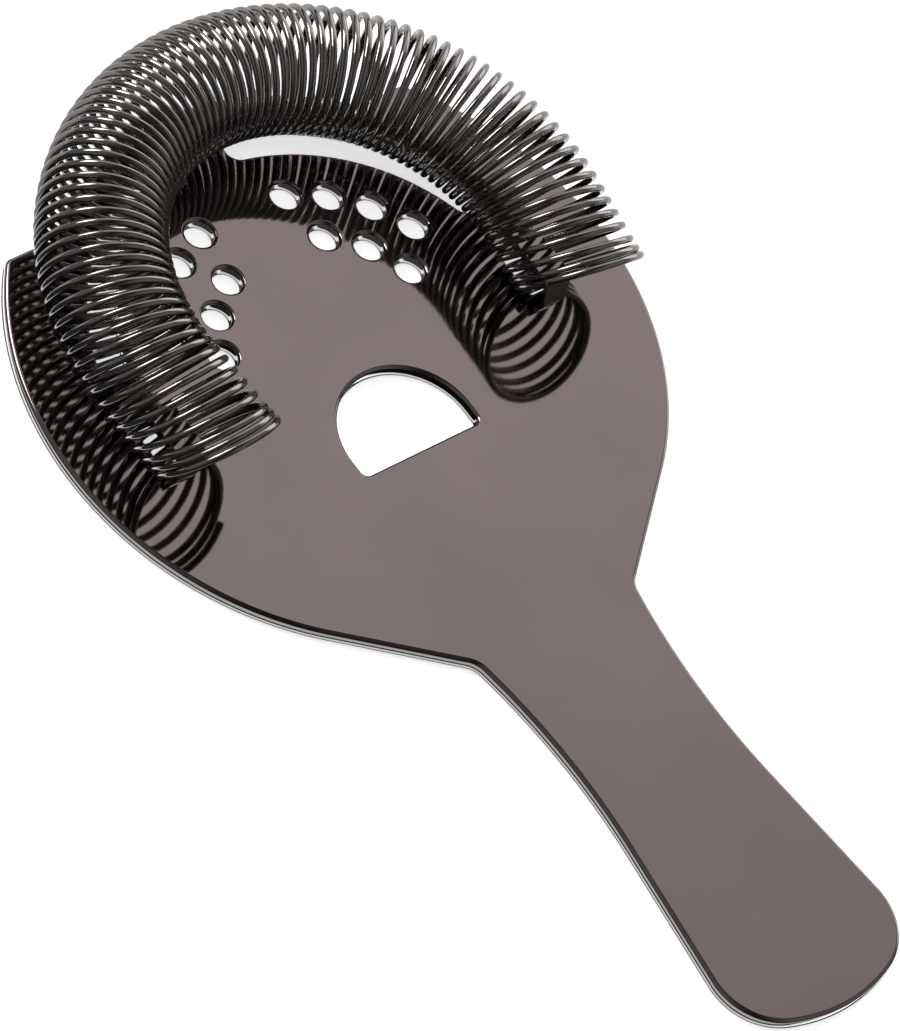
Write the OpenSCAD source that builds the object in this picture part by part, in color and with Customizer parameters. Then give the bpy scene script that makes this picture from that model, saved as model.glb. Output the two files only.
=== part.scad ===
// Hawthorne strainer. One flat sheet makes the perforated head and its handle. One coil
// spring follows the front half of the head and hangs on two tabs lanced from the sheet.
// Origin: centre of the round head, on its underside. +Z is the spring side, +Y the front
// rim, and the handle runs towards -Y. Everything but the winding is symmetric about X = 0.

/* [Head] */
// Thickness of the sheet
sheet_t = 1.8; // [1.5:0.1:2]
// Radius of the round head, which sits across the mouth of the cup
head_r = 45; // [44:0.5:46]
// Radius of the disc in front of the shoulders
front_r = 39.5; // [39:0.25:41]
// How far ahead of the centre the shoulder steps lie
shoulder_y = 30; // [29:0.5:31]
// Corner radius at the shoulders
shoulder_fillet = 1.5; // [1:0.25:2]

/* [Handle] */
// Angle of the straight flanks between head and neck, measured from X
flank_angle = 50.75; // [50:0.25:52]
// Radius of the hollow of each handle side
waist_r = 101; // [95:1:105]
// Half width of the handle at its waist
waist_half = 11.6; // [11:0.2:12.4]
// How far behind the centre the waist lies
waist_y = 66.7; // [65:0.1:68]
// Where the hollow sides turn into straight ones, behind the centre
flare_y = 77.9; // [74:0.1:80]
// Radius of the flat middle part of the handle's end
end_r = 24.3; // [22:0.1:26]
// Radius of the tighter arcs beside it
end_side_r = 9.1; // [8.5:0.1:11]
// Angle at which the end passes from one radius to the other
end_turn = 20.8; // [17:0.2:21]
// How far behind the centre the tip of the handle lies
tip_y = 108.8; // [107:0.1:112]
// Radius of the two corners at the end of the handle
end_fillet = 1.5; // [1:0.5:3]
// Radius in the two inner corners at the neck
neck_fillet = 3.2; // [1:0.1:4]

/* [Openings] */
// Diameter of one drain hole
hole_d = 4; // [3:0.25:4.5]
// Radius of the outer row of drain holes
outer_row_r = 23.4; // [23:0.1:24]
// Radius of the inner row of drain holes
inner_row_r = 16.8; // [16.6:0.1:17.2]
// Angle from +Y to the first hole of the outer row
outer_row_start = 18.1; // [17:0.1:20]
// Angle between holes of the outer row
outer_row_step = 14.75; // [14:0.25:15]
// Angle from +Y to the first hole of the inner row
inner_row_start = 29.3; // [28:0.1:31]
// Angle between holes of the inner row
inner_row_step = 21; // [20:0.25:22]
// Radius of the middle of the two curved slots
slot_r = 32; // [31.5:0.25:32.5]
// Width of the curved slots
slot_w = 4; // [3:0.25:4.5]
// Angle from +Y to the first end of a slot
slot_start = 11; // [9:0.1:12]
// Angle from +Y to the last end of a slot
slot_end = 69.5; // [60:0.5:72]
// Radius of the round side of the D-shaped hole
dee_r = 9.8; // [9:0.1:10.5]
// How far behind the centre the round side of the D is centred
dee_y = 15.1; // [14.5:0.1:16]
// How far behind the centre the straight side of the D lies
dee_flat_y = 18; // [17.5:0.1:19]
// Corner radius of the D
dee_fillet = 1; // [0.8:0.1:2]

/* [Coil spring] */
// Diameter of the spring wire
wire_d = 1; // [0.9:0.05:1]
// Outer radius of the coil
coil_r = 8.65; // [8.55:0.05:8.75]
// Radius of the arc that the middle of the coil follows
path_r = 32.2; // [32:0.1:32.4]
// How far ahead of the head's centre that arc is centred
path_y = 4.75; // [4.7:0.05:4.95]
// Half angle of the arc
path_bend = 96.2; // [95.2:0.2:96.2]
// Length of the straight run of the coil at each end
path_run = 10.55; // [10.25:0.05:10.6]
// Number of turns
turns = 80.75; // [79.75:1:81.75]
// Distance between turns at the two ends
end_pitch = 1.16; // [1.16:0.01:1.2]
// Number of close turns at each end
close_turns = 2; // [2:0.5:4]
// Extra length of coil taken up by the wider turns behind the close ones
stretch = 1.8; // [1:0.1:2.5]
// Number of turns in which that extra spacing fades
relax_turns = 4; // [3:0.5:6]
// How far the last turns lean towards the handle
end_lean = 28.5; // [28.5:0.25:30]
// Length of coil from the front to where the turns begin to lean
lean_start = 15.5; // [13:0.5:18]
// Space between the coil and the sheet
coil_gap = 0.95; // [0.9:0.05:1.05]

/* [Spring tabs] */
// Distance of each tab's middle from the centre line
tab_x = 31.2; // [31.1:0.05:31.3]
// Width of a tab
tab_w = 4.2; // [3.8:0.1:4.3]
// How far behind the centre a tab rises out of the sheet
tab_root_y = 7.5; // [7.5:0.1:7.8]
// How far ahead of the centre a tab ends
tab_tip_y = 1.4; // [1:0.1:1.6]
// Height of the tab's underside over the sheet
tab_lift = 2.7; // [2.6:0.05:2.8]
// Thickness of the pressed tab
tab_t = 1.25; // [1:0.05:1.4]
// Length in which a tab rises
tab_rise_run = 1.2; // [1.1:0.05:1.2]
// Length of a tab's foot in the sheet
tab_foot = 0.3; // [0.2:0.05:0.3]
// Slit between a tab and the edge of its window
tab_slit = 0.15; // [0.1:0.05:0.3]

/* [Hidden] */
$fn = 96;
arc_error = 0.01;                        // how far a chord may leave its arc
through = 1;                             // how far a cutter runs past each face
drain_angles_outer = [for (i = [0:3]) outer_row_start + i * outer_row_step];
drain_angles_inner = [for (i = [0:2]) inner_row_start + i * inner_row_step];

// Points along an arc about c, from angle a to angle b
function arc(c, r, a, b) = let (n = ceil(abs(b - a) / (2 * acos(1 - arc_error / r))))
    [for (i = [0:n]) let (t = a + (b - a) * i / n) c + r * [cos(t), sin(t)]];
function angle_of(v) = atan2(v[1], v[0]);
// A closed outline without its repeated points
function outline(points) = [for (i = [0:len(points) - 1])
    if (norm(points[i] - points[(i + 1) % len(points)]) > arc_error) points[i]];
// Where a line from p along d leaves the circle of radius r about c
function leave(p, d, c, r) = let (q = p - c, b = q * d) p + d * (sqrt(b * b - q * q + r * r) - b);

// The flank: its outward normal, and its direction towards the neck
flank_n = [cos(flank_angle), -sin(flank_angle)];
flank_d = [-sin(flank_angle), -cos(flank_angle)];
waist_c = [waist_half + waist_r, -waist_y];
neck_c = leave((head_r + neck_fillet) * flank_n, flank_d, waist_c, waist_r - neck_fillet);
neck_angle = angle_of(neck_c - waist_c);

// The flared side of the handle continues the hollow one along its tangent
flare_angle = asin((flare_y - waist_y) / waist_r);
flare_n = [cos(flare_angle), sin(flare_angle)];
flare_d = [sin(flare_angle), -cos(flare_angle)];
end_c = [0, end_r - tip_y];
side_c = end_c + (end_r - end_side_r) * [sin(end_turn), -cos(end_turn)];
corner_c = leave(waist_c - (waist_r + end_fillet) * flare_n, flare_d, side_c, end_side_r - end_fillet);
corner_angle = angle_of(corner_c - side_c);

// Shoulder corners: round outside, and filled inside where they meet the front disc
shoulder_c = [sqrt(pow(head_r - shoulder_fillet, 2) - pow(shoulder_y - shoulder_fillet, 2)),
    shoulder_y - shoulder_fillet];
crook_c = [sqrt(pow(front_r + shoulder_fillet, 2) - pow(shoulder_y + shoulder_fillet, 2)),
    shoulder_y + shoulder_fillet];

// Right-hand side of the plate, from the front rim to the tip of the handle
right_side = concat(
    arc([0, 0], front_r, 90, angle_of(crook_c)),
    arc(crook_c, shoulder_fillet, angle_of(crook_c) + 180, 270),
    arc(shoulder_c, shoulder_fillet, 90, angle_of(shoulder_c)),
    arc([0, 0], head_r, angle_of(shoulder_c), -flank_angle),
    arc(neck_c, neck_fillet, 180 - flank_angle, neck_angle),
    arc(waist_c, waist_r, neck_angle, 180 + flare_angle),
    arc(corner_c, end_fillet, flare_angle, corner_angle),
    arc(side_c, end_side_r, corner_angle, end_turn - 90),
    arc(end_c, end_r, end_turn - 90, -90));
left_side = [for (i = [len(right_side) - 1:-1:0]) [-right_side[i][0], right_side[i][1]]];

module both_sides() {
    children();
    mirror([1, 0, 0]) children();
}

// A cutter through the sheet
module cut() {
    translate([0, 0, -through]) linear_extrude(sheet_t + 2 * through) children();
}

// ---- plate ----

module drain_hole(angle, r) {
    rotate([0, 0, -angle]) translate([0, r, -through]) cylinder(h = sheet_t + 2 * through, d = hole_d);
}

module curved_slot() {
    a = 90 - slot_start;
    b = 90 - slot_end;
    half = slot_w / 2;
    cut() polygon(outline(concat(
        arc([0, 0], slot_r + half, a, b),
        arc(slot_r * [cos(b), sin(b)], half, b, b - 180),
        arc([0, 0], slot_r - half, b, a),
        arc(slot_r * [cos(a), sin(a)], half, a + 180, a))));
}

module dee_hole() {
    corner = [dee_r - dee_fillet, dee_fillet - dee_flat_y];
    cut() polygon(outline(concat(
        arc([0, -dee_y], dee_r, 180, 0),
        arc(corner, dee_fillet, 0, -90),
        arc([-corner[0], corner[1]], dee_fillet, -90, -180))));
}

module tab_window() {
    cut() translate([tab_x - tab_w / 2 - tab_slit, -tab_root_y])
        square([tab_w + 2 * tab_slit, tab_root_y + tab_tip_y + tab_slit]);
}

module plate() {
    color("dimgray") difference() {
        linear_extrude(sheet_t) polygon(outline(concat(right_side, left_side)));
        both_sides() {
            for (a = drain_angles_outer) drain_hole(a, outer_row_r);
            for (a = drain_angles_inner) drain_hole(a, inner_row_r);
            curved_slot();
            tab_window();
        }
        dee_hole();
    }
}

// ---- spring tab: rises out of the sheet, then runs forward inside the coil ----

module spring_tab(x) {
    under = sheet_t + tab_lift;
    color("gray") translate([x - tab_w / 2, 0, 0]) rotate([90, 0, 90]) linear_extrude(tab_w) polygon([
        [-tab_root_y, 0],
        [tab_foot - tab_root_y, 0],
        [tab_foot + tab_rise_run - tab_root_y, under],
        [tab_tip_y, under],
        [tab_tip_y, under + tab_t],
        [tab_rise_run - tab_root_y, under + tab_t],
        [-tab_root_y, sheet_t]]);
}

module spring_tab_left() {
    spring_tab(-tab_x);
}

module spring_tab_right() {
    spring_tab(tab_x);
}

// ---- coil spring: a wire wound left-handed about an arc with two straight runs ----

wire_r = wire_d / 2;
wind_r = coil_r - wire_r;
steps_per_turn = 12;
wire_sides = 5;
first_phase = 150;                       // where on the first turn the wire begins
lean_full = 3;                           // length at each end with the full lean
lean_power = 1.65;                       // how the lean gathers towards each end
arc_half = path_r * path_bend * PI / 180;
half_len = arc_half + path_run;
open_turns = turns / 2 - close_turns;
spread = stretch * (1 - exp(-open_turns / relax_turns));
mid_pitch = (half_len - end_pitch * close_turns - spread) / open_turns;

// Length of coil between an end and the turn that is n turns in from it
function inset(n) = let (u = max(n - close_turns, 0))
    end_pitch * min(n, close_turns) + mid_pitch * u + stretch * (1 - exp(-u / relax_turns));
// Place on the coil's middle line of the turn n, with 0 at the front and - on the left
function place_of(n) = n < turns / 2 ? inset(n) - half_len : half_len - inset(turns - n);

function side(s) = s < 0 ? -1 : 1;
function bend_at(s) = min(abs(s) / path_r * 180 / PI, path_bend);
function run_at(s) = max(abs(s) - arc_half, 0);
function lean_at(s) = end_lean * pow(max(0, min(1,
    (abs(s) - lean_start) / (half_len - lean_full - lean_start))), lean_power);
function outward(s) = [side(s) * sin(bend_at(s)), cos(bend_at(s)), 0];
function endward(s) = [side(s) * cos(bend_at(s)), -sin(bend_at(s)), 0];
function upward(s) = [0, 0, cos(lean_at(s))] + sin(lean_at(s)) * endward(s);
function middle(s) = [0, path_y, sheet_t + coil_gap + coil_r * cos(lean_at(s))]
    + path_r * outward(s) + run_at(s) * endward(s);
function spoke(n) = let (s = place_of(n), a = first_phase - 360 * n)
    cos(a) * outward(s) + sin(a) * upward(s);
function wire_point(n) = middle(place_of(n)) + wind_r * spoke(n);
function unit(v) = v / norm(v);
function wire_ring(n) = let (
    along = unit(wire_point(min(n + 0.01, turns)) - wire_point(max(n - 0.01, 0))),
    out = unit(spoke(n) - (spoke(n) * along) * along),
    across = cross(along, out))
    [for (j = [0:wire_sides - 1]) let (a = 360 * j / wire_sides)
        wire_point(n) + wire_r * (cos(a) * out + sin(a) * across)];

module coil_spring() {
    steps = round(turns * steps_per_turn);
    rings = [for (i = [0:steps]) each wire_ring(i / steps_per_turn)];
    sides = [for (i = [0:steps - 1]) for (j = [0:wire_sides - 1])
        let (a = i * wire_sides + j, b = i * wire_sides + (j + 1) % wire_sides)
        each [[a, a + wire_sides, b + wire_sides], [a, b + wire_sides, b]]];
    first_cap = [for (j = [0:wire_sides - 1]) j];
    last_cap = [for (j = [wire_sides - 1:-1:0]) steps * wire_sides + j];
    color("silver") polyhedron(points = rings, faces = concat(sides, [first_cap, last_cap]), convexity = 10);
}

plate();
coil_spring();
spring_tab_left();
spring_tab_right();
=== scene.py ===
import math

import bpy
import numpy as np
from mathutils import Matrix, Vector
from mathutils.geometry import delaunay_2d_cdt


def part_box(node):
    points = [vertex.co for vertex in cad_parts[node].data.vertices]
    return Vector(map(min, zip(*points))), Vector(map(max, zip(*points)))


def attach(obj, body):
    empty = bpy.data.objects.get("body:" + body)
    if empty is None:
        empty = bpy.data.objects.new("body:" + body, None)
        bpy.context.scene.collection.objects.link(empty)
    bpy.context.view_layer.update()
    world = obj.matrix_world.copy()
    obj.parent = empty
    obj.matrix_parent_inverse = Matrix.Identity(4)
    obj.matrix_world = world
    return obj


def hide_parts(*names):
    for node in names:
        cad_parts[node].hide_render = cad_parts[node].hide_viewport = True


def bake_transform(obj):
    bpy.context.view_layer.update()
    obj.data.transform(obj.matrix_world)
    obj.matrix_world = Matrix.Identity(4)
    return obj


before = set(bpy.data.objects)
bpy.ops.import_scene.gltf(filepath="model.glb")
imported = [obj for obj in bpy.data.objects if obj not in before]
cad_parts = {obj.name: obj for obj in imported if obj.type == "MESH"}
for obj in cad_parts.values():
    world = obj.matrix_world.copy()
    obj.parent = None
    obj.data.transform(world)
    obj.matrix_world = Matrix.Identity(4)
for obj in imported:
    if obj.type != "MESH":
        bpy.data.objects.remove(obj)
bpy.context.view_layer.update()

MM = 0.001

# ---- sizes: the driving ones come from the frame, the rest repeat the CAD model's ----

plate_low, plate_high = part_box("plate")
HEAD_R = plate_high.x
FRONT_R = plate_high.y
TIP_Y = -plate_low.y
SHEET_T = plate_high.z
EDGE_R = 0.55 * MM                     # rounding of the stamped sheet's upper edges
LOW_EDGE_R = 0.15 * MM                 # rounding of its lower edges
EDGE_STEPS = 6                         # bands in each rounded edge
ARC_ERROR = 0.002 * MM                 # how far a chord may leave its arc

SHOULDER_Y = 30 * MM
SHOULDER_FILLET = 1.5 * MM
FLANK_ANGLE = math.radians(50.75)
WAIST_R = 101 * MM
WAIST_HALF = 11.6 * MM
WAIST_Y = 66.7 * MM
FLARE_Y = 77.9 * MM
END_R = 24.3 * MM
END_SIDE_R = 9.1 * MM
END_TURN = math.radians(20.8)
END_FILLET = 1.5 * MM
NECK_FILLET = 3.2 * MM

HOLE_R = 2 * MM
HOLE_ROWS = (                          # radius, first angle, step and number of the drain holes
    (23.4 * MM, 18.1, 14.75, 4),
    (16.8 * MM, 29.3, 21, 3),
)
SLOT_R = 32 * MM
SLOT_HALF = 2 * MM
SLOT_START = 11                        # degrees from the front
SLOT_END = 69.5
DEE_R = 9.8 * MM
DEE_Y = 15.1 * MM
DEE_FLAT_Y = 18 * MM
DEE_FILLET = 1 * MM

tab_low, tab_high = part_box("spring_tab_right")
TAB_X = (tab_low.x + tab_high.x) / 2
TAB_W = tab_high.x - tab_low.x
TAB_SLIT = 0.15 * MM                   # gap between a tab and its window
TAB_T = 1.25 * MM
TAB_RISE_RUN = 1.2 * MM                # how far forward a tab runs while it rises
TAB_FOOT = 0.3 * MM                    # length of its underside before it rises
TAB_EDGE_R = 0.12 * MM
TAB_ROOT = 2.4 * MM                    # how much of a window the sheet fills at the tab's foot

WIRE_R = 0.5 * MM
COIL_R = 8.65 * MM                     # outer radius of the coil
COIL_GAP = 0.95 * MM                   # between the coil and the sheet
PATH_R = 32.2 * MM                     # the coil's middle: an arc about (0, PATH_Y) and two straight runs
PATH_Y = 4.75 * MM
PATH_BEND = math.radians(96.2)         # half angle of the arc
PATH_RUN = 10.55 * MM
TURNS = 80.75
END_PITCH = 1.16 * MM                  # distance between the close turns at the ends
CLOSE_TURNS = 2
STRETCH = 1.8 * MM                     # extra length taken up by the wider turns behind them
RELAX_TURNS = 4                        # turns in which that extra spacing fades
END_LEAN = math.radians(28.5)          # how far the last turns lean towards the handle
LEAN_START = 15.5 * MM                 # along the coil, from the front to where the lean begins
LEAN_FULL = 3 * MM                     # along the coil, from its end to where the lean is full
LEAN_POWER = 1.65
FIRST_PHASE = math.radians(150)        # where on its turn the wire starts
STEPS_PER_TURN = 48
WIRE_SIDES = 12

# ---- looks and stage ----

PLATE_COLOUR = (0.212, 0.176, 0.172)
WIRE_COLOUR = (0.235, 0.215, 0.205)
PLATE_ROUGHNESS = 0.045
WIRE_ROUGHNESS = 0.10
PLATE_SCRATCHES = 0.15                 # strength of the hairlines
WIRE_SCRATCHES = 0.10
SCRATCH_HEIGHT = 0.01 * MM
HAIRLINE_SCALE = (6000.0, 60.0, 60.0)  # fine across X, long in the other two directions
CLOUD_SCALE = 35.0
SMEAR_SCALE = 90.0
TONE_SPREAD = 0.04                     # how much lighter and darker the clouds are
TONE_RANGE = (0.35, 0.65)              # the part of the noise that the clouds use
GLOSS_RANGE = (0.7, 1.5)               # least and most roughness, as parts of the mean

FLOOR_HALF = 4.0
FLOOR_Z = -0.2 * MM
FLOOR_GREY = 0.8
FLOOR_LIGHT = 0.68                     # the paper's own light, as seen directly
# Painted reflection: the paper as only the metal sees it gets its own brightness, dark at the front and
# bright behind.
MIRROR_BACK = (0.6, 0.8, 0)            # the way in which the paper's painted reflection grows brighter
MIRROR_FROM = -5 * MM                  # where it begins to, as a distance that way from the origin
MIRROR_TO = 15 * MM                    # and where it is fully bright
MIRROR_FRONT_LIGHT = 0.06
MIRROR_BACK_LIGHT = 0.85
PAINTED_SHADOW_FROM = 34 * MM                   # where the object's painted shadow on the paper's reflection begins to clear
PAINTED_SHADOW_TO = 42 * MM                     # and where it is gone, both as distances from the origin
PAINTED_SHADOW_BRIGHTNESS = 0.20                     # brightness left in that painted shadow

# Glowing strips, not lamps, that paint highlights on the sheet's walls and rim.
GLOW_Z = -0.1 * MM
GLOW_COLOUR = (0.88, 1, 1, 1)
WALL_GLOW = (0.25 * MM, 0.5 * MM, 3.0)  # near and far side of a strip and its brightness
RIM_GLOW = (0.7 * MM, 2.5 * MM, 1.8)

CAMERA_AT = (-0.45359, -0.25727, 0.64196)
CAMERA_AIM = (-0.00186, -0.02710, 0)
CAMERA_ROLL = math.radians(30.66)
CAMERA_LENS = 223.41

STUDIO_LIGHT = 0.05
STUDIO_GLOWS = (                       # direction, cosines of the outer and inner angle, brightness
    ((0.70, -0.70, 0.26), 0.30, 0.90, 0.35),    # right wall
    ((-0.75, 0.55, 0.40), 0.30, 0.90, 0.30),    # left wall
    ((0.527, 0.586, 0.616), 0.80, 0.97, 1.28),  # screen
    ((0.973, 0.207, 0.105), 0.85, 0.95, 2.5),   # backdrop
)


# ---- outlines ----

def arc(centre, radius, start, end):
    """Points of an arc from one angle to another, in radians."""
    step = 2 * math.acos(1 - ARC_ERROR / radius)
    count = max(2, math.ceil(abs(end - start) / step))
    t = np.linspace(start, end, count + 1)
    return np.array(centre) + radius * np.column_stack((np.cos(t), np.sin(t)))


def loop(*arcs, hole=False):
    """A closed outline with no repeated points: anticlockwise round material, clockwise round a hole."""
    points = np.vstack(arcs)
    points = points[np.linalg.norm(points - np.roll(points, -1, 0), axis=1) > ARC_ERROR]
    ahead = np.roll(points, -1, 0)
    area = np.sum(points[:, 0] * ahead[:, 1] - ahead[:, 0] * points[:, 1]) / 2
    return points[::-1] if (area < 0) != hole else points


def mirrored(points):
    return points[::-1] * (-1, 1)


def leave(point, direction, centre, radius):
    """Where a line leaves the circle of that radius about centre."""
    q = point - centre
    b = q @ direction
    return point + direction * (math.sqrt(b * b - q @ q + radius * radius) - b)


def angle_of(v):
    return math.atan2(v[1], v[0])


def plate_outline():
    right = math.pi / 2
    flank_n = np.array((math.cos(FLANK_ANGLE), -math.sin(FLANK_ANGLE)))
    flank_d = np.array((-math.sin(FLANK_ANGLE), -math.cos(FLANK_ANGLE)))
    waist_c = np.array((WAIST_HALF + WAIST_R, -WAIST_Y))
    neck_c = leave((HEAD_R + NECK_FILLET) * flank_n, flank_d, waist_c, WAIST_R - NECK_FILLET)
    neck_angle = angle_of(neck_c - waist_c)
    flare = math.asin((FLARE_Y - WAIST_Y) / WAIST_R)
    flare_n = np.array((math.cos(flare), math.sin(flare)))
    flare_d = np.array((math.sin(flare), -math.cos(flare)))
    end_c = np.array((0, END_R - TIP_Y))
    side_c = end_c + (END_R - END_SIDE_R) * np.array((math.sin(END_TURN), -math.cos(END_TURN)))
    corner_c = leave(waist_c - (WAIST_R + END_FILLET) * flare_n, flare_d, side_c, END_SIDE_R - END_FILLET)
    corner_angle = angle_of(corner_c - side_c)
    shoulder_y = SHOULDER_Y - SHOULDER_FILLET
    shoulder_c = np.array((math.sqrt((HEAD_R - SHOULDER_FILLET) ** 2 - shoulder_y ** 2), shoulder_y))
    crook_y = SHOULDER_Y + SHOULDER_FILLET
    crook_c = np.array((math.sqrt((FRONT_R + SHOULDER_FILLET) ** 2 - crook_y ** 2), crook_y))
    side = np.vstack((
        arc((0, 0), FRONT_R, right, angle_of(crook_c)),
        arc(crook_c, SHOULDER_FILLET, angle_of(crook_c) + math.pi, 3 * right),
        arc(shoulder_c, SHOULDER_FILLET, right, angle_of(shoulder_c)),
        arc((0, 0), HEAD_R, angle_of(shoulder_c), -FLANK_ANGLE),
        arc(neck_c, NECK_FILLET, math.pi - FLANK_ANGLE, neck_angle),
        arc(waist_c, WAIST_R, neck_angle, math.pi + flare),
        arc(corner_c, END_FILLET, flare, corner_angle),
        arc(side_c, END_SIDE_R, corner_angle, END_TURN - right),
        arc(end_c, END_R, END_TURN - right, -right),
    ))
    return loop(side, mirrored(side))


def drain_holes():
    for radius, first, step, count in HOLE_ROWS:
        for i in range(count):
            a = math.radians(first + i * step)
            for sign in (-1, 1):
                centre = (sign * radius * math.sin(a), radius * math.cos(a))
                yield loop(arc(centre, HOLE_R, 0, 2 * math.pi)[:-1], hole=True)


def curved_slots():
    a = math.radians(90 - SLOT_START)
    b = math.radians(90 - SLOT_END)
    right = np.vstack((
        arc((0, 0), SLOT_R + SLOT_HALF, a, b),
        arc((SLOT_R * math.cos(b), SLOT_R * math.sin(b)), SLOT_HALF, b, b - math.pi),
        arc((0, 0), SLOT_R - SLOT_HALF, b, a),
        arc((SLOT_R * math.cos(a), SLOT_R * math.sin(a)), SLOT_HALF, a + math.pi, a),
    ))
    return loop(right, hole=True), loop(mirrored(right), hole=True)


def dee_hole():
    x = DEE_R - DEE_FILLET
    y = DEE_FILLET - DEE_FLAT_Y
    return loop(
        arc((0, -DEE_Y), DEE_R, math.pi, 0),
        arc((x, y), DEE_FILLET, 0, -math.pi / 2),
        arc((-x, y), DEE_FILLET, -math.pi / 2, -math.pi),
        hole=True,
    )


def rounded(corners, radius):
    """A closed outline of straight sides with every corner rounded."""
    corners = [np.array(c, float) for c in corners]
    arcs = []
    for i, c in enumerate(corners):
        back = corners[i - 1] - c
        ahead = corners[(i + 1) % len(corners)] - c
        back /= np.linalg.norm(back)
        ahead /= np.linalg.norm(ahead)
        half = math.acos(np.clip(back @ ahead, -1, 1)) / 2
        middle = (back + ahead) / np.linalg.norm(back + ahead)
        centre = c + middle * radius / math.sin(half)
        start = angle_of(c + back * radius / math.tan(half) - centre)
        end = angle_of(c + ahead * radius / math.tan(half) - centre)
        turn = (end - start + math.pi) % (2 * math.pi) - math.pi
        arcs.append(arc(centre, radius, start, start + turn))
    return arcs


def tab_windows():
    x1 = TAB_X - TAB_W / 2 - TAB_SLIT
    x2 = TAB_X + TAB_W / 2 + TAB_SLIT
    y1 = tab_low.y + TAB_ROOT
    y2 = tab_high.y + TAB_SLIT
    right = np.vstack(rounded(((x1, y1), (x2, y1), (x2, y2), (x1, y2)), EDGE_R))
    return loop(right, hole=True), loop(mirrored(right), hole=True)


# ---- meshes ----

def make_object(name, vertices, faces, normals=None):
    mesh = bpy.data.meshes.new(name)
    mesh.from_pydata([tuple(v) for v in vertices], [], [tuple(int(i) for i in f) for f in faces])
    mesh.validate()
    mesh.shade_smooth()
    if normals is not None:
        mesh.normals_split_custom_set_from_vertices([tuple(n) for n in normals])
    obj = bpy.data.objects.new(name, mesh)
    bpy.context.scene.collection.objects.link(obj)
    return obj


def fill(loops):
    """Triangles that fill the outlines, as indices into their stacked points."""
    points = np.vstack(loops)
    edges = []
    first = 0
    for ring in loops:
        n = len(ring)
        edges += [(first + i, first + (i + 1) % n) for i in range(n)]
        first += n
    scale = 1 / MM
    vectors = [Vector(p * scale) for p in points]
    _, _, triangles, origins, _, _ = delaunay_2d_cdt(vectors, edges, [], 1, 1e-6)
    index = [o[0] for o in origins]
    kept = []
    starts = points
    ends = np.vstack([np.roll(ring, -1, 0) for ring in loops])
    for triangle in triangles:
        t = [index[i] for i in triangle]
        c = points[t].mean(0)
        crosses = (starts[:, 1] > c[1]) != (ends[:, 1] > c[1])
        s, e = starts[crosses], ends[crosses]
        x = s[:, 0] + (c[1] - s[:, 1]) * (e[:, 0] - s[:, 0]) / (e[:, 1] - s[:, 1])
        if np.count_nonzero(x > c[0]) % 2:
            kept.append(t)
    return kept


def sheet_mesh(name, loops, thickness, top_r, low_r):
    """A flat piece with rounded edges. The first outline is its rim and the others are holes."""
    outward = []
    for ring in loops:
        along = np.roll(ring, -1, 0) - ring
        n = np.column_stack((along[:, 1], -along[:, 0]))
        n /= np.linalg.norm(n, axis=1)[:, None]
        n += np.roll(n, 1, 0)
        outward.append(n / np.linalg.norm(n, axis=1)[:, None])
    ring_points = np.vstack(loops)
    ring_normals = np.vstack(outward)
    turn = np.linspace(0, math.pi / 2, EDGE_STEPS + 1)
    levels = [(low_r - low_r * math.cos(a), low_r - low_r * math.sin(a), -a) for a in turn[::-1]]
    levels += [(top_r - top_r * math.cos(a), thickness - top_r + top_r * math.sin(a), a) for a in turn]
    vertices, normals, faces = [], [], []
    for inset, z, tilt in levels:
        flat = ring_points - ring_normals * inset
        vertices.append(np.column_stack((flat, np.full(len(flat), z))))
        normals.append(np.column_stack((ring_normals * math.cos(tilt),
                                        np.full(len(flat), math.sin(tilt)))))
    count = len(ring_points)
    for level in range(len(levels) - 1):
        first = 0
        for ring in loops:
            n = len(ring)
            for i in range(n):
                a = level * count + first + i
                b = level * count + first + (i + 1) % n
                faces.append((a, b, b + count, a + count))
            first += n
    cap = fill([r - n * top_r for r, n in zip(loops, outward)])
    top = (len(levels) - 1) * count
    for t in cap:
        p, q, r = ring_points[t[0]], ring_points[t[1]], ring_points[t[2]]
        if (q[0] - p[0]) * (r[1] - p[1]) - (q[1] - p[1]) * (r[0] - p[0]) < 0:
            t = t[::-1]
        faces.append([i + top for i in t])
        faces.append(t[::-1])
    return make_object(name, np.vstack(vertices), faces, np.vstack(normals))


def tube(name, points, radius, sides):
    """A round wire along points, with a flat cap at each end."""
    along = np.gradient(points, axis=0)
    along /= np.linalg.norm(along, axis=1)[:, None]
    out = np.cross(along[0], (0, 0, 1.0))
    vertices = []
    turn = np.linspace(0, 2 * math.pi, sides, endpoint=False)
    for p, t in zip(points, along):
        out = out - (out @ t) * t
        out /= np.linalg.norm(out)
        across = np.cross(t, out)
        vertices.append(p + radius * (np.cos(turn)[:, None] * out + np.sin(turn)[:, None] * across))
    faces = []
    for i in range(len(points) - 1):
        for j in range(sides):
            a = i * sides + j
            b = i * sides + (j + 1) % sides
            faces.append((a, b, b + sides, a + sides))
    last = (len(points) - 1) * sides
    faces.append(tuple(range(sides))[::-1])
    faces.append(tuple(range(last, last + sides)))
    return make_object(name, np.vstack(vertices), faces)


# ---- pieces ----

def make_plate():
    loops = [plate_outline(), *drain_holes(), *curved_slots(), dee_hole(), *tab_windows()]
    return sheet_mesh("strainer_plate", loops, SHEET_T, EDGE_R, LOW_EDGE_R)


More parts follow.
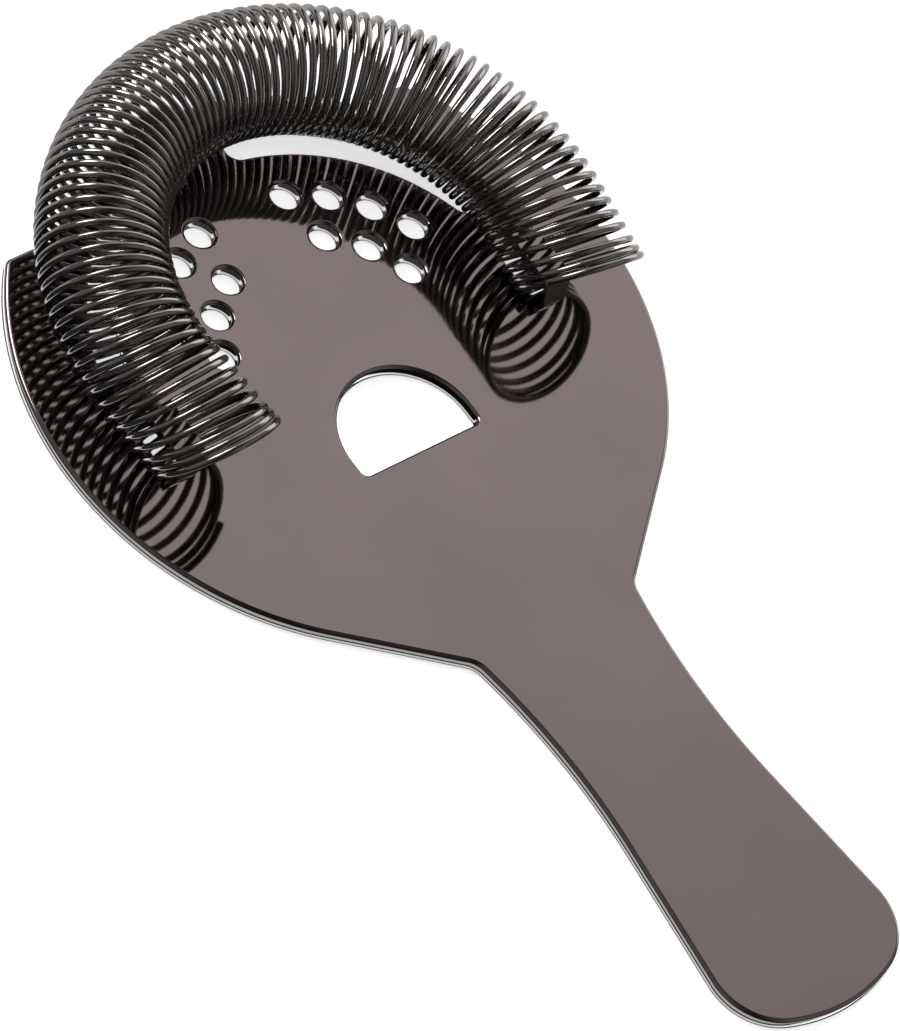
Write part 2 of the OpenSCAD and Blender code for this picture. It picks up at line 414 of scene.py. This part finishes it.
def make_tab(name, x):
    y1, y2 = tab_low.y, tab_high.y
    top = tab_high.z
    under = top - TAB_T
    side = loop(*rounded((
        (y1, 0),
        (y1 + TAB_FOOT, 0),
        (y1 + TAB_FOOT + TAB_RISE_RUN, under),
        (y2, under),
        (y2, top),
        (y1 + TAB_RISE_RUN, top),
        (y1, SHEET_T),
    ), TAB_EDGE_R))
    obj = sheet_mesh(name, [side], TAB_W, TAB_EDGE_R, TAB_EDGE_R)
    stand = Matrix(((0, 0, 1, x - TAB_W / 2), (1, 0, 0, 0), (0, 1, 0, 0), (0, 0, 0, 1)))
    obj.data.transform(stand)
    return obj


def coil_points():
    """The wire's middle line: a left-handed winding about an arc with two straight runs."""
    half_turns = TURNS / 2
    arc_half = PATH_R * PATH_BEND
    half_len = arc_half + PATH_RUN
    open_turns = half_turns - CLOSE_TURNS
    spread = STRETCH * (1 - math.exp(-open_turns / RELAX_TURNS))
    mid_pitch = (half_len - END_PITCH * CLOSE_TURNS - spread) / open_turns
    n = np.linspace(0, TURNS, round(TURNS * STEPS_PER_TURN) + 1)
    from_end = np.minimum(n, TURNS - n)
    opened = np.maximum(from_end - CLOSE_TURNS, 0)
    inset = END_PITCH * np.minimum(from_end, CLOSE_TURNS) + mid_pitch * opened
    inset += STRETCH * (1 - np.exp(-opened / RELAX_TURNS))
    side = np.where(n < half_turns, -1.0, 1.0)
    s = side * (half_len - inset)
    bend = np.minimum(abs(s) / PATH_R, PATH_BEND)
    run = np.maximum(abs(s) - arc_half, 0)
    leaning = np.clip((abs(s) - LEAN_START) / (half_len - LEAN_FULL - LEAN_START), 0, 1)
    lean = END_LEAN * leaning ** LEAN_POWER
    zero = np.zeros_like(s)
    outward = np.column_stack((side * np.sin(bend), np.cos(bend), zero))
    endward = np.column_stack((side * np.cos(bend), -np.sin(bend), zero))
    upward = np.sin(lean)[:, None] * endward
    upward[:, 2] = np.cos(lean)
    middle = PATH_R * outward + run[:, None] * endward
    middle[:, 1] += PATH_Y
    middle[:, 2] = SHEET_T + COIL_GAP + COIL_R * np.cos(lean)
    phase = FIRST_PHASE - 2 * math.pi * n
    spoke = np.cos(phase)[:, None] * outward + np.sin(phase)[:, None] * upward
    return middle + (COIL_R - WIRE_R) * spoke


def make_coil():
    return tube("spring_wire", coil_points(), WIRE_R, WIRE_SIDES)


# ---- materials ----

def new_material(name):
    material = bpy.data.materials.new(name)
    material.use_nodes = True
    nodes = material.node_tree.nodes
    links = material.node_tree.links
    return material, nodes, links, nodes["Principled BSDF"]


def gunmetal(name, colour, roughness, scratches):
    """Dark plated steel: a near mirror with faint hairlines, a clouded tone and uneven gloss."""
    material, nodes, links, shader = new_material(name)
    shader.inputs["Metallic"].default_value = 1.0
    place = nodes.new("ShaderNodeTexCoord")

    cloud = nodes.new("ShaderNodeTexNoise")
    cloud.inputs["Scale"].default_value = CLOUD_SCALE
    cloud.inputs["Detail"].default_value = 4.0
    links.new(place.outputs["Object"], cloud.inputs["Vector"])
    tone = nodes.new("ShaderNodeValToRGB")
    for stop, position, sign in zip(tone.color_ramp.elements, TONE_RANGE, (-1, 1)):
        stop.position = position
        stop.color = (*[c * (1 + sign * TONE_SPREAD) for c in colour], 1)
    links.new(cloud.outputs["Fac"], tone.inputs["Fac"])
    links.new(tone.outputs["Color"], shader.inputs["Base Color"])

    smear = nodes.new("ShaderNodeTexNoise")
    smear.inputs["Scale"].default_value = SMEAR_SCALE
    smear.inputs["Detail"].default_value = 6.0
    links.new(place.outputs["Object"], smear.inputs["Vector"])
    gloss = nodes.new("ShaderNodeMapRange")
    gloss.inputs["To Min"].default_value = roughness * GLOSS_RANGE[0]
    gloss.inputs["To Max"].default_value = roughness * GLOSS_RANGE[1]
    links.new(smear.outputs["Fac"], gloss.inputs["Value"])
    links.new(gloss.outputs["Result"], shader.inputs["Roughness"])

    stretch = nodes.new("ShaderNodeMapping")
    stretch.inputs["Scale"].default_value = HAIRLINE_SCALE
    links.new(place.outputs["Object"], stretch.inputs["Vector"])
    hairs = nodes.new("ShaderNodeTexNoise")
    hairs.inputs["Scale"].default_value = 1.0
    hairs.inputs["Detail"].default_value = 2.0
    links.new(stretch.outputs["Vector"], hairs.inputs["Vector"])
    bump = nodes.new("ShaderNodeBump")
    bump.inputs["Strength"].default_value = scratches
    bump.inputs["Distance"].default_value = SCRATCH_HEIGHT
    links.new(hairs.outputs["Fac"], bump.inputs["Height"])
    links.new(bump.outputs["Normal"], shader.inputs["Normal"])
    return material


def finish_piece(obj, material, body, slot_name, *nodes):
    obj.data.materials.clear()
    obj.data.materials.append(material)
    if body:
        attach(obj, body)
    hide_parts(*nodes)


# ---- stage ----

def make_floor():
    """White paper, even where it is seen directly; what the metal reflects of it is painted light, dark at
    the front, with a painted shadow near the object.
    """
    corners = [(x * FLOOR_HALF, y * FLOOR_HALF, 0) for x, y in ((-1, -1), (1, -1), (1, 1), (-1, 1))]
    floor = make_object("floor", corners, [(0, 1, 2, 3)])
    floor.location.z = FLOOR_Z
    material, nodes, links, shader = new_material("floor_white_and_painted_reflection")
    shader.inputs["Base Color"].default_value = (FLOOR_GREY, FLOOR_GREY, FLOOR_GREY, 1)
    shader.inputs["Roughness"].default_value = 0.9
    shader.inputs["Emission Color"].default_value = (1, 1, 1, 1)
    shader.inputs["Emission Strength"].default_value = FLOOR_LIGHT
    place = nodes.new("ShaderNodeTexCoord")
    behind = nodes.new("ShaderNodeVectorMath")
    behind.operation = "DOT_PRODUCT"
    behind.inputs[1].default_value = MIRROR_BACK
    links.new(place.outputs["Object"], behind.inputs[0])
    fade = nodes.new("ShaderNodeMapRange")
    fade.interpolation_type = "SMOOTHSTEP"
    fade.inputs["From Min"].default_value = MIRROR_FROM
    fade.inputs["From Max"].default_value = MIRROR_TO
    fade.inputs["To Min"].default_value = MIRROR_FRONT_LIGHT
    fade.inputs["To Max"].default_value = MIRROR_BACK_LIGHT
    links.new(behind.outputs["Value"], fade.inputs["Value"])
    # painted shadow of the object on the paper's reflection, lifting with distance from the origin
    distance = nodes.new("ShaderNodeVectorMath")
    distance.operation = "LENGTH"
    links.new(place.outputs["Object"], distance.inputs[0])
    clear = nodes.new("ShaderNodeMapRange")
    clear.inputs["From Min"].default_value = PAINTED_SHADOW_FROM
    clear.inputs["From Max"].default_value = PAINTED_SHADOW_TO
    clear.inputs["To Min"].default_value = PAINTED_SHADOW_BRIGHTNESS
    links.new(distance.outputs["Value"], clear.inputs["Value"])
    shade = nodes.new("ShaderNodeMath")
    shade.operation = "MULTIPLY"
    links.new(fade.outputs["Result"], shade.inputs[0])
    links.new(clear.outputs["Result"], shade.inputs[1])
    # painted reflection and painted shadow, as an emission that only glossy rays see
    painted_reflection_light = nodes.new("ShaderNodeEmission")
    links.new(shade.outputs["Value"], painted_reflection_light.inputs["Strength"])
    ray = nodes.new("ShaderNodeLightPath")
    mix = nodes.new("ShaderNodeMixShader")
    links.new(ray.outputs["Is Glossy Ray"], mix.inputs["Fac"])
    links.new(shader.outputs["BSDF"], mix.inputs[1])
    links.new(painted_reflection_light.outputs["Emission"], mix.inputs[2])
    links.new(mix.outputs["Shader"], nodes["Material Output"].inputs["Surface"])
    floor.data.materials.append(material)


def make_painted_highlight_strip(name, loops, near, far, strength):
    """A glowing strip beside the foot of the sheet's walls, which only the metal sees: no lamp, it paints
    highlights on the walls.
    """
    vertices, faces = [], []
    first = 0
    for ring in loops:
        along = np.roll(ring, -1, 0) - np.roll(ring, 1, 0)
        out = np.column_stack((along[:, 1], -along[:, 0])) / np.linalg.norm(along, axis=1)[:, None]
        n = len(ring)
        for offset in (near, far):
            vertices.append(np.column_stack((ring + out * offset, np.full(n, GLOW_Z))))
        for i in range(n):
            a = first + i
            b = first + (i + 1) % n
            faces.append((a, a + n, b + n, b))
        first += 2 * n
    line = make_object(name, np.vstack(vertices), faces)
    material, _, _, shader = new_material(name + "_white")
    shader.inputs["Base Color"].default_value = (0, 0, 0, 1)
    shader.inputs["Emission Color"].default_value = GLOW_COLOUR
    shader.inputs["Emission Strength"].default_value = strength
    line.data.materials.append(material)
    line.visible_camera = False
    line.visible_diffuse = False
    line.visible_shadow = False


def make_camera():
    at = Vector(CAMERA_AT)
    camera = bpy.data.objects.new("camera", bpy.data.cameras.new("camera"))
    bpy.context.scene.collection.objects.link(camera)
    back = (at - Vector(CAMERA_AIM)).normalized()
    right = Vector((0, 0, 1)).cross(back).normalized()
    up = back.cross(right)
    turned_right = math.cos(CAMERA_ROLL) * right + math.sin(CAMERA_ROLL) * up
    turned_up = math.cos(CAMERA_ROLL) * up - math.sin(CAMERA_ROLL) * right
    camera.matrix_world = Matrix((
        (turned_right.x, turned_up.x, back.x, at.x),
        (turned_right.y, turned_up.y, back.y, at.y),
        (turned_right.z, turned_up.z, back.z, at.z),
        (0, 0, 0, 1),
    ))
    camera.data.sensor_width = 36.0
    camera.data.lens = CAMERA_LENS
    camera.data.clip_start = 0.05
    camera.data.clip_end = 20.0
    bpy.context.scene.camera = camera


def glow(nodes, links, direction, edge, full):
    """A soft round patch of sky about a direction; edge and full are cosines of its outer and inner angle."""
    place = nodes.new("ShaderNodeTexCoord")
    toward = nodes.new("ShaderNodeVectorMath")
    toward.operation = "DOT_PRODUCT"
    toward.inputs[1].default_value = Vector(direction).normalized()
    links.new(place.outputs["Generated"], toward.inputs[0])
    patch = nodes.new("ShaderNodeMapRange")
    patch.interpolation_type = "SMOOTHSTEP"
    patch.inputs["From Min"].default_value = edge
    patch.inputs["From Max"].default_value = full
    links.new(toward.outputs["Value"], patch.inputs["Value"])
    return patch.outputs["Result"]


def add_scaled(nodes, links, value, factor, rest):
    """value * factor + rest, where rest is a socket or a number."""
    sum_node = nodes.new("ShaderNodeMath")
    sum_node.operation = "MULTIPLY_ADD"
    links.new(value, sum_node.inputs[0])
    sum_node.inputs[1].default_value = factor
    if isinstance(rest, float):
        sum_node.inputs[2].default_value = rest
    else:
        links.new(rest, sum_node.inputs[2])
    return sum_node.outputs["Value"]


def make_world():
    """A dark studio with a few soft bright patches, plain white where the camera sees it directly."""
    world = bpy.data.worlds.new("studio")
    world.use_nodes = True
    bpy.context.scene.world = world
    nodes = world.node_tree.nodes
    links = world.node_tree.links
    nodes.clear()
    brightness = STUDIO_LIGHT
    for direction, edge, full, strength in STUDIO_GLOWS:
        brightness = add_scaled(nodes, links, glow(nodes, links, direction, edge, full), strength, brightness)
    studio = nodes.new("ShaderNodeBackground")
    links.new(brightness, studio.inputs["Strength"])
    plain = nodes.new("ShaderNodeBackground")
    plain.inputs["Color"].default_value = (1, 1, 1, 1)
    plain.inputs["Strength"].default_value = 1.0
    ray = nodes.new("ShaderNodeLightPath")
    mix = nodes.new("ShaderNodeMixShader")
    links.new(ray.outputs["Is Camera Ray"], mix.inputs["Fac"])
    links.new(studio.outputs["Background"], mix.inputs[1])
    links.new(plain.outputs["Background"], mix.inputs[2])
    output = nodes.new("ShaderNodeOutputWorld")
    links.new(mix.outputs["Shader"], output.inputs["Surface"])


def softbox(name, at, aim, size, power):
    light = bpy.data.lights.new(name, "AREA")
    light.shape = "RECTANGLE"
    light.size, light.size_y = size
    light.energy = power
    obj = bpy.data.objects.new(name, light)
    bpy.context.scene.collection.objects.link(obj)
    obj.location = at
    obj.rotation_mode = "QUATERNION"
    obj.rotation_quaternion = (Vector(at) - Vector(aim)).to_track_quat("Z", "Y")
    return obj


# ---- build ----

make_camera()
make_world()
make_floor()
# glowing strips that paint highlights on the walls of the rim and the holes
make_painted_highlight_strip("wall_glow", [plate_outline(), *drain_holes(), *curved_slots(), dee_hole()], *WALL_GLOW)
make_painted_highlight_strip("rim_glow", [plate_outline()], *RIM_GLOW)
softbox("key_light", (-0.35, 1.1, 1.0), (0, 0, 0), (0.8, 0.5), 14.0)
ceiling = softbox("ceiling_light", (0, 0, 1.2), (0, 0, 0), (1.2, 1.2), 4.0)
ceiling.visible_glossy = False         # it lights the floor and stays out of the metal

plate_metal = gunmetal("plate_gunmetal", PLATE_COLOUR, PLATE_ROUGHNESS, PLATE_SCRATCHES)
wire_metal = gunmetal("wire_gunmetal", WIRE_COLOUR, WIRE_ROUGHNESS, WIRE_SCRATCHES)

finish_piece(make_plate(), plate_metal, "plate", "dark_steel", "plate")
finish_piece(make_tab("tab_left", -TAB_X), plate_metal, "plate", "dark_steel", "spring_tab_left")
finish_piece(make_tab("tab_right", TAB_X), plate_metal, "plate", "dark_steel", "spring_tab_right")

coil = make_coil()
finish_piece(coil, wire_metal, None, "spring_wire", "coil_spring")
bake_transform(coil)

bpy.context.scene.view_settings.view_transform = "Standard"
